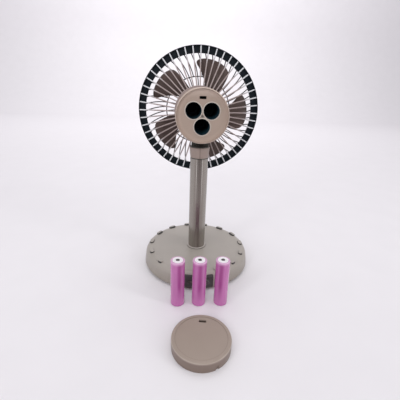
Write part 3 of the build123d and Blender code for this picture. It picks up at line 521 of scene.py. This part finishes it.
# a polygon whose corners are parabolas, corner + back * (1 - s)^2 + on * s^2, with a holding point on each side
roundSet = {"steps": 6, "hold": 1.35}
cornerPoints = roundSet["steps"] + 2


def rounded(corners, cuts):
    corners = np.array(corners, float)
    cuts = np.broadcast_to(np.array(cuts, float), len(corners))[:, None, None]
    back = np.roll(corners, 1, 0) - corners
    on = np.roll(corners, -1, 0) - corners
    back = (back / np.linalg.norm(back, axis=1, keepdims=True))[:, None]
    on = (on / np.linalg.norm(on, axis=1, keepdims=True))[:, None]
    share = np.linspace(0.0, 1.0, roundSet["steps"])[None, :, None]
    corner = corners[:, None]
    bend = corner + cuts * (back * (1.0 - share) ** 2 + on * share**2)
    holds = [corner + roundSet["hold"] * cuts * way for way in (back, on)]
    return np.concatenate((holds[0], bend, holds[1]), 1).reshape(-1, 2)


# points of the circular arc that leaves start along heading and ends at finish: its centre lies square to the
# heading, at chord^2 / (2 * the chord's part across it), and it turns by twice the angle from heading to chord
def arcFrom(start, heading, finish, steps):
    start, finish = np.array(start, float), np.array(finish, float)
    heading = np.array(heading, float) / np.linalg.norm(heading)
    chord = finish - start
    across = np.array((-heading[1], heading[0]))
    arm = -across * (chord @ chord) / (2.0 * (across @ chord))
    turn = np.linspace(0.0, 2.0 * np.arctan2(across @ chord, heading @ chord), steps)[:, None]
    return start - arm + np.cos(turn) * arm + np.sin(turn) * np.array((-arm[1], arm[0]))


# joins grids of points (piece, row, column) into one mesh, a quad from each point to its next ones both ways:
# columns close round, rows close too or have filled ends, and faces with a negative volume are turned round
def skin(name, grids, body, finish, replaced, loop=False, sharpAngle=0.7):
    count, rows, columns = grids.shape[:3]
    index = np.arange(count * rows * columns).reshape(count, rows, columns)
    below = np.roll(index, -1, 1)
    quads = np.stack((index, np.roll(index, -1, 2), np.roll(below, -1, 2), below), -1)
    if not loop:
        quads = quads[:, :-1]
    quads = quads.reshape(-1, 4)
    centred = (grids - grids.mean((1, 2), keepdims=True)).reshape(-1, 3)
    first, second, third, fourth = (centred[quads[:, corner]] for corner in range(4))
    volume = np.sum(first * (np.cross(second, third) + np.cross(third, fourth)))
    ends = [] if loop else index[:, 0, ::-1].tolist() + index[:, -1].tolist()
    faces = quads.tolist() + ends
    if volume < 0.0:
        faces = [face[::-1] for face in faces]
    mesh = bpy.data.meshes.new(name)
    mesh.from_pydata(grids.reshape(-1, 3).tolist(), [], faces)
    mesh.polygons.foreach_set("use_smooth", np.ones(len(faces), bool))
    mesh.set_sharp_from_angle(angle=sharpAngle)
    mesh.materials.append(finishes[finish])
    piece = bpy.data.objects.new(name, mesh)
    scene.collection.objects.link(piece)
    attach(piece, body)
    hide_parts(replaced)
    return piece


# a closed profile of (depth, radius) in millimetres carried round the fan's axis
def turnedOnFan(name, profile, body, finish, replaced, steps=144):
    angle = evenTurns(steps)[:, None]
    grid = roundFan(angle, profile[None, :, 1] * mm, profile[None, :, 0] * mm)
    return skin(name, grid[None], body, finish, replaced, loop=True)


# a closed profile of (radius, height) in millimetres carried round the upright line through a middle
def turnedUpright(name, profile, middle, body, finish, replaced, steps=72):
    angle = evenTurns(steps)[:, None]
    grid = roundUpright(angle, profile[None, :, 0] * mm, profile[None, :, 1] * mm, middle)
    return skin(name, grid[None], body, finish, replaced, loop=True)


# ribs along a path of (depth, radius) in millimetres, one from each start angle and turned by lean on the way:
# the section at a path point is half the width * cosine^corner to the rib's side and half the thickness
# * sine^corner along the normal of the turned surface, a rounded rectangle
def guardRibs(name, path, lean, starts, guard, finish, replaced, corner=0.5, sectionSteps=12):
    slope = np.gradient(path, axis=0)
    normal = np.stack((slope[:, 1], -slope[:, 0]), -1)
    normal /= np.linalg.norm(normal, axis=1, keepdims=True)
    angle = starts[:, None] + lean[None, :]
    centre = roundFan(angle, path[None, :, 1] * mm, path[None, :, 0] * mm)
    out = np.stack((normal[:, 1] * np.sin(angle), normal[:, 0] + 0.0 * angle, normal[:, 1] * np.cos(angle)), -1)
    side = np.cross(np.gradient(centre, axis=1), out)
    side /= np.linalg.norm(side, axis=-1, keepdims=True)
    turn = evenTurns(sectionSteps) + math.pi / sectionSteps
    flatX = np.sign(np.cos(turn)) * np.abs(np.cos(turn)) ** corner
    flatY = np.sign(np.sin(turn)) * np.abs(np.sin(turn)) ** corner
    wide = guard["ribWide"] * mm / 2 * flatX[:, None]
    deep = guard["ribThick"] * mm / 2 * flatY[:, None]
    grids = centre[:, :, None] + side[:, :, None] * wide + out[:, :, None] * deep
    return skin(name, grids, "head", finish, replaced)


# corners of a ring's section, from its rear to its front and from its inner to its outer radius
def ringSection(rear, front, inner, outer):
    return [(rear, inner), (rear, outer), (front, outer), (front, inner)]


# sizes of the pieces are in millimetres and angles in degrees
# rear guard: straight ribs on a shallow dish, a dark hoop at the rim and a hub ring
rearGuard = {
    "ribs": 48, "ribWide": 1.75, "ribThick": 2.0, "hubRadius": 35.3, "hubDepth": 34.0, "slope": 0.45,
    "rimDepth": 44.0, "bandRadius": 80.0, "rimRadius": 90.4, "hoopWide": 1.3, "hubHole": 15.5, "hubThick": 2.0,
    "edge": 0.3, "dishSteps": 18, "flatSteps": 6, "hoopSteps": 192,
}
hubMiddle = rearGuard["hubDepth"] + rearGuard["ribThick"] / 2
rimMiddle = rearGuard["rimDepth"] + rearGuard["ribThick"] / 2
dish = arcFrom(
    (hubMiddle, rearGuard["hubRadius"]), (rearGuard["slope"], 1.0), (rimMiddle, rearGuard["bandRadius"]),
    rearGuard["dishSteps"])
flatRadius = np.linspace(rearGuard["bandRadius"], rearGuard["rimRadius"], rearGuard["flatSteps"] + 1)[1:]
path = np.concatenate((dish, np.stack((np.full(rearGuard["flatSteps"], rimMiddle), flatRadius), -1)))
starts = evenTurns(rearGuard["ribs"]) + math.pi / 2
guardRibs("rearRibs", path, np.zeros(len(path)), starts, rearGuard, "ribTaupe", "rear_guard")
hoop = ringSection(
    rearGuard["rimDepth"], rearGuard["rimDepth"] + rearGuard["ribThick"],
    rearGuard["rimRadius"] - rearGuard["hoopWide"], rearGuard["rimRadius"])
turnedOnFan("rearHoop", rounded(hoop, rearGuard["edge"]), "head", "bandDark", "rear_guard", rearGuard["hoopSteps"])
hub = ringSection(
    rearGuard["hubDepth"], rearGuard["hubDepth"] + rearGuard["hubThick"],
    rearGuard["hubHole"], rearGuard["hubRadius"] + rearGuard["ribWide"])
turnedOnFan("rearHub", rounded(hub, rearGuard["edge"]), "head", "ribTaupe", "rear_guard")
print("rear guard made")

# front guard: leaning ribs on a dome, a rim band, a middle ring of wire and a boss
frontGuard = {
    "ribs": 48, "ribWide": 1.5, "ribThick": 2.0, "bandRear": 46.0, "bandFront": 50.0, "bandInner": 80.0,
    "bandEdge": 0.7, "bandSteps": 192, "rimRadius": 90.4, "footRadius": 87.0, "footSunk": 2.0,
    "shoulderDepth": 66.0, "shoulderRadius": 74.0, "domeFront": 74.0, "lean": 11.0, "ringShare": 0.43,
    "ringWire": 0.8, "wireSteps": 14, "bossRadius": 17.0, "bossProud": 0.8, "bossBore": 0.3, "grooveDeep": 0.5,
    "grooveShares": (0.8, 0.76), "bossCuts": (0.1, 0.7, 0.7, 0.5, 0.5, 0.1), "flankSteps": 14, "crownSteps": 40,
}
flank = arcFrom(
    (frontGuard["bandFront"], frontGuard["footRadius"]), (1.0, 0.0),
    (frontGuard["shoulderDepth"], frontGuard["shoulderRadius"]), frontGuard["flankSteps"])
crown = arcFrom(
    flank[-1], flank[-1] - flank[-2],
    (frontGuard["domeFront"], frontGuard["bossRadius"]), frontGuard["crownSteps"] + 1)
ringAt = int(round(frontGuard["ringShare"] * frontGuard["crownSteps"]))
foot = [(frontGuard["bandFront"] - frontGuard["footSunk"], frontGuard["footRadius"])]
outerPath = np.concatenate((foot, flank, crown[1:ringAt + 1]))
innerPath = crown[ringAt:]


# the ribs lean by the square of the radius' share of the way from the boss to the foot
def ribLean(path):
    share = (path[:, 1] - frontGuard["bossRadius"]) / (frontGuard["footRadius"] - frontGuard["bossRadius"])
    return -math.radians(frontGuard["lean"]) * share**2


shift = np.array((-frontGuard["ribThick"] / 2, 0.0))
starts = evenTurns(frontGuard["ribs"])
for name, path, angles in (("frontRibsOuter", outerPath, starts), ("frontRibsInner", innerPath, starts[::2])):
    guardRibs(name, path + shift, ribLean(path), angles, frontGuard, "ribDark", "front_guard")
band = ringSection(
    frontGuard["bandRear"], frontGuard["bandFront"], frontGuard["bandInner"], frontGuard["rimRadius"])
band = rounded(band, frontGuard["bandEdge"])
turnedOnFan("frontBand", band, "head", "bandDark", "front_guard", frontGuard["bandSteps"])
turn = evenTurns(frontGuard["wireSteps"])
wire = crown[ringAt] + shift + frontGuard["ringWire"] * np.stack((np.cos(turn), np.sin(turn)), -1)
turnedOnFan("frontRing", wire, "head", "ribDark", "front_guard")
front = frontGuard["domeFront"] + frontGuard["bossProud"]
back = frontGuard["domeFront"] - frontGuard["ribThick"] - frontGuard["bossProud"]
grooveOuter, grooveInner = (frontGuard["bossRadius"] * share for share in frontGuard["grooveShares"])
boss = [
    (back, frontGuard["bossBore"]), (back, frontGuard["bossRadius"]), (front, frontGuard["bossRadius"]),
    (front, grooveOuter), (front - frontGuard["grooveDeep"], grooveInner), (front, frontGuard["bossBore"]),
]
turnedOnFan("frontBoss", rounded(boss, frontGuard["bossCuts"]), "head", "bandDark", "front_guard")
print("front guard made")

# impeller: twisted blades whose two edges turn evenly with the radius, with rounded tips, on a cup-shaped hub;
# depth is the middle plane less the pitch's slope and a parabola of camber, plus half the thickness on each face;
# pairs run from the root to the tip
impeller = {
    "blades": 5, "radius": (19.5, 74.6), "leading": (25.3, -8.8), "trailing": (52.1, 36.7), "pitch": (46.0, 13.0),
    "camber": (1.5, 3.0), "chord": (19.0, 60.0), "thick": 1.5, "depth": 54.2, "edgePower": 8,
    "tipFrom": 0.80, "tipPower": 2.8, "tipReach": 0.9985, "spanSteps": 16, "tipSteps": 15, "chordSteps": 22,
    "hubRadius": 21.0, "hubRear": 45.2, "hubFront": 63.2, "hubWall": 2.0, "hubBore": 0.3,
    "hubCuts": (0.4, 0.4, 3.4, 0.1, 0.1, 2.0),
}
plain = np.linspace(0.0, impeller["tipFrom"], impeller["spanSteps"])
nearTip = np.sin(np.linspace(0.0, math.pi / 2, impeller["tipSteps"]))[1:] * impeller["tipReach"]
span = np.concatenate((plain, taper((impeller["tipFrom"], 1.0), nearTip)))[:, None]
leading, trailing = (np.radians(taper(impeller[edge], span)) for edge in ("leading", "trailing"))
over = np.clip((span - impeller["tipFrom"]) / (1.0 - impeller["tipFrom"]), 0.0, 1.0)
tipRound = (1.0 - over ** impeller["tipPower"]) ** (1.0 / impeller["tipPower"])
spread = (trailing - leading) / 2 * tipRound
chordSteps = np.sin(np.linspace(-math.pi / 2, math.pi / 2, impeller["chordSteps"]))
across = np.concatenate((chordSteps, chordSteps[-2:0:-1]))[None]
face = np.concatenate((np.full(impeller["chordSteps"], -1.0), np.full(impeller["chordSteps"] - 2, 1.0)))[None]
radius = taper(impeller["radius"], span)
pitch = np.radians(taper(impeller["pitch"], span))
halfRun = taper(impeller["chord"], span) / 2 * np.cos(pitch)
offset = radius * spread * across
bow = taper(impeller["camber"], span) * (1.0 - (offset / halfRun) ** 2)
halfThick = impeller["thick"] / 2
depth = impeller["depth"] + halfThick - np.tan(pitch) * offset - bow
depth = depth + face * halfThick * np.sqrt(1.0 - across ** impeller["edgePower"])
angle = ((leading + trailing) / 2 + spread * across)[None] + evenTurns(impeller["blades"])[:, None, None]
skin("fanBlades", roundFan(angle, radius[None] * mm, depth[None] * mm), "rotor", "bladeBrown", "impeller")
wall = impeller["hubRadius"] - impeller["hubWall"]
cupFloor = impeller["hubFront"] - impeller["hubWall"]
cup = [
    (impeller["hubRear"], wall), (impeller["hubRear"], impeller["hubRadius"]),
    (impeller["hubFront"], impeller["hubRadius"]), (impeller["hubFront"], impeller["hubBore"]),
    (cupFloor, impeller["hubBore"]), (cupFloor, wall),
]
turnedOnFan("fanHub", rounded(cup, impeller["hubCuts"]), "rotor", "bladeBrown", "impeller")
print("impeller made")

# cells: shrunk film over a can, rolled in at both ends; its side is uneven by two sine waves round and along it
cellWrap = {
    "radius": 9.2, "length": 65.0, "pocket": 0.9, "lip": 6.75, "lipDrop": 0.15, "bore": 0.2, "steps": 96,
    "foot": 7.0, "footRise": 0.35, "footBevel": 0.25, "footCuts": (0.05, 0.12, 0.12, 0.75, 0.05),
    "topCuts": (0.05, 1.3, 0.2, 0.1, 0.05), "sideFrom": 1.2, "sideTo": 63.0, "sideSteps": 40,
    "uneven": 0.03, "unevenFrom": 8.6, "waves": ((3.0, 9.0), (5.0, -17.0)),
}
cellTop = {
    "ringBore": 2.6, "ringRadius": 6.65, "ringTop": 65.4, "ringCuts": (0.1, 0.1, 0.5, 0.3),
    "button": 2.3, "buttonTop": 65.7, "buttonBore": 0.1, "buttonCuts": (0.05, 0.1, 0.4, 0.05),
}
pocketFloor = cellWrap["length"] - cellWrap["pocket"]
bottom = rounded([
    (cellWrap["bore"], cellWrap["footRise"]), (cellWrap["foot"], cellWrap["footRise"]),
    (cellWrap["foot"] + cellWrap["footBevel"], 0.0), (cellWrap["radius"], 0.0),
    (cellWrap["radius"], cellWrap["sideFrom"]),
], cellWrap["footCuts"])
top = rounded([
    (cellWrap["radius"], cellWrap["sideTo"]), (cellWrap["radius"], cellWrap["length"]),
    (cellWrap["lip"], cellWrap["length"] - cellWrap["lipDrop"]),
    (cellWrap["lip"], pocketFloor), (cellWrap["bore"], pocketFloor),
], cellWrap["topCuts"])
sideHeights = np.linspace(cellWrap["sideFrom"], cellWrap["sideTo"], cellWrap["sideSteps"])
profile = np.concatenate((  # the open ends of both rounded outlines are cut off
    bottom[cornerPoints - 1:4 * cornerPoints],
    np.stack((np.full(cellWrap["sideSteps"], cellWrap["radius"]), sideHeights), -1),
    top[cornerPoints:4 * cornerPoints + 1],
))
radius, height = profile[:, :1], profile[:, 1:]
angle = evenTurns(cellWrap["steps"])[None]
waves = sum(np.sin(around * angle + upwards * height / cellWrap["length"]) for around, upwards in cellWrap["waves"])
ripple = cellWrap["uneven"] * waves * np.clip(radius - cellWrap["unevenFrom"], 0.0, 1.0)
filmRadius = radius - 2.0 * cellWrap["uneven"] * (radius > cellWrap["unevenFrom"]) + ripple
ring = [
    (cellTop["ringBore"], pocketFloor), (cellTop["ringRadius"], pocketFloor),
    (cellTop["ringRadius"], cellTop["ringTop"]), (cellTop["ringBore"], cellTop["ringTop"]),
]
button = [
    (cellTop["buttonBore"], pocketFloor), (cellTop["button"], pocketFloor),
    (cellTop["button"], cellTop["buttonTop"]), (cellTop["buttonBore"], cellTop["buttonTop"]),
]
ring, button = rounded(ring, cellTop["ringCuts"]), rounded(button, cellTop["buttonCuts"])
for cell in cells:
    low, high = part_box(f"cell_{cell}_wrap")
    middle, body, ending = (low + high) / 2, f"cell_{cell}", cell.capitalize()
    film = roundUpright(angle, filmRadius * mm, height * mm, middle)
    skin("wrap" + ending, film[None], body, "cellPink" + ending, f"cell_{cell}_wrap")
    turnedUpright("ring" + ending, ring, middle, body, "ringWhite", f"cell_{cell}_ring")
    turnedUpright("cap" + ending, button, middle, body, "buttonSteel", f"cell_{cell}_cap")
print("cells wrapped")


# a mesh of the stage, from its points and faces
def stagePiece(name, points, faces, finish):
    mesh = bpy.data.meshes.new(name)
    mesh.from_pydata(points.reshape(-1, 3).tolist(), [], faces)
    mesh.polygons.foreach_set("use_smooth", np.ones(len(faces), bool))
    mesh.materials.append(finishes[finish])
    piece = bpy.data.objects.new(name, mesh)
    scene.collection.objects.link(piece)
    return piece


# floor that curves up into a backdrop: a flat run, a quarter circle and an upright wall, carried along x
floorSet = {
    "half": 12.0, "front": -12.0, "bend": 2.2, "radius": 0.9, "top": 2.5, "turnSteps": 24, "sunk": 0.0002,
}
turn = np.linspace(0.0, math.pi / 2, floorSet["turnSteps"])
backdrop = floorSet["bend"] + floorSet["radius"]
profileY = np.concatenate(([floorSet["front"]], floorSet["bend"] + floorSet["radius"] * np.sin(turn), [backdrop]))
profileZ = np.concatenate(([0.0], floorSet["radius"] * (1.0 - np.cos(turn)), [floorSet["top"]]))
rows = len(profileY)
floorPoints = np.zeros((2, rows, 3))
floorPoints[:, :, 0] = np.array([[-floorSet["half"]], [floorSet["half"]]])
floorPoints[:, :, 1] = profileY
floorPoints[:, :, 2] = profileZ - floorSet["sunk"]
index = np.arange(2 * rows).reshape(2, rows)
floorQuads = np.stack((index[0, :-1], index[1, :-1], index[1, 1:], index[0, 1:]), -1)
floor = stagePiece("floor", floorPoints, floorQuads.tolist(), "floorPale")

# a dark card behind the camera keeps the front faces from going flat
cardSet = {"wide": 1.5, "low": 0.02, "high": 0.4, "depth": -0.85}
cardX = np.array((-0.5, 0.5, 0.5, -0.5)) * cardSet["wide"]
cardZ = np.array((cardSet["low"], cardSet["low"], cardSet["high"], cardSet["high"]))
cardPoints = np.stack((cardX, np.full(4, cardSet["depth"]), cardZ), -1)
card = stagePiece("card", cardPoints, [(0, 1, 2, 3)], "cardBlack")
card.visible_camera = False

# soft studio light: white surroundings and five large panels
lightSet = {
    "room": (0.98, 0.97, 1.0, 1.0),
    "roomStrength": 0.6,
    "panels": [
        # name, place, aim, width, height, watts
        ("overhead", (0.0, 0.1, 1.4), (0.0, 0.0, 0.0), 1.2, 1.2, 5.0),
        ("front", (-0.3, -1.5, 1.0), (0.0, 0.0, 0.23), 1.0, 0.5, 6.5),
        ("backdrop", (0.0, 1.3, 2.1), (0.0, 3.0, 0.7), 3.0, 1.0, 40.0),
        ("left", (-0.95, -1.05, 0.6), (0.0, 0.0, 0.15), 0.25, 1.2, 5.0),
        ("right", (1.2, -0.7, 0.6), (0.0, 0.0, 0.15), 0.25, 1.2, 5.0),
    ],
}
world = bpy.data.worlds.new("room")
scene.world = world
world.use_nodes = True
background = world.node_tree.nodes["Background"]
background.inputs["Color"].default_value = lightSet["room"]
background.inputs["Strength"].default_value = lightSet["roomStrength"]
for name, spot, aim, width, height, watts in lightSet["panels"]:
    panel = bpy.data.lights.new(name, "AREA")
    panel.shape = "RECTANGLE"
    panel.size = width
    panel.size_y = height
    panel.energy = watts
    holder = bpy.data.objects.new(name, panel)
    holder.location = spot
    holder.rotation_euler = (Vector(aim) - Vector(spot)).to_track_quat("-Z", "Y").to_euler()
    scene.collection.objects.link(holder)

# camera: its forward line is level, then pitched down and rolled as the picture is
cameraSet = {
    "spot": (-0.02718, -0.40842, 0.26547), "yaw": -0.0748, "pitch": 0.3746, "roll": 0.0384,
    "lens": 25.69, "sensor": 36.0, "nearest": 0.01,
}
yaw, pitch, roll = (cameraSet[turn] for turn in ("yaw", "pitch", "roll"))
level = Vector((-math.sin(yaw), math.cos(yaw), 0.0))
sideways = Vector((math.cos(yaw), math.sin(yaw), 0.0))
skyward = Vector((0.0, 0.0, 1.0))
ahead = level * math.cos(pitch) - skyward * math.sin(pitch)
upward = level * math.sin(pitch) + skyward * math.cos(pitch)
frameRight = sideways * math.cos(roll) + upward * math.sin(roll)
frameTop = upward * math.cos(roll) - sideways * math.sin(roll)
cameraData = bpy.data.cameras.new("camera")
cameraData.lens = cameraSet["lens"]
cameraData.sensor_width = cameraSet["sensor"]
cameraData.clip_start = cameraSet["nearest"]
camera = bpy.data.objects.new("camera", cameraData)
turned = Matrix((frameRight, frameTop, -ahead)).transposed().to_4x4()
camera.matrix_world = Matrix.Translation(cameraSet["spot"]) @ turned
scene.collection.objects.link(camera)
scene.camera = camera
scene.view_settings.view_transform = "Standard"
print("stage, light and camera set")
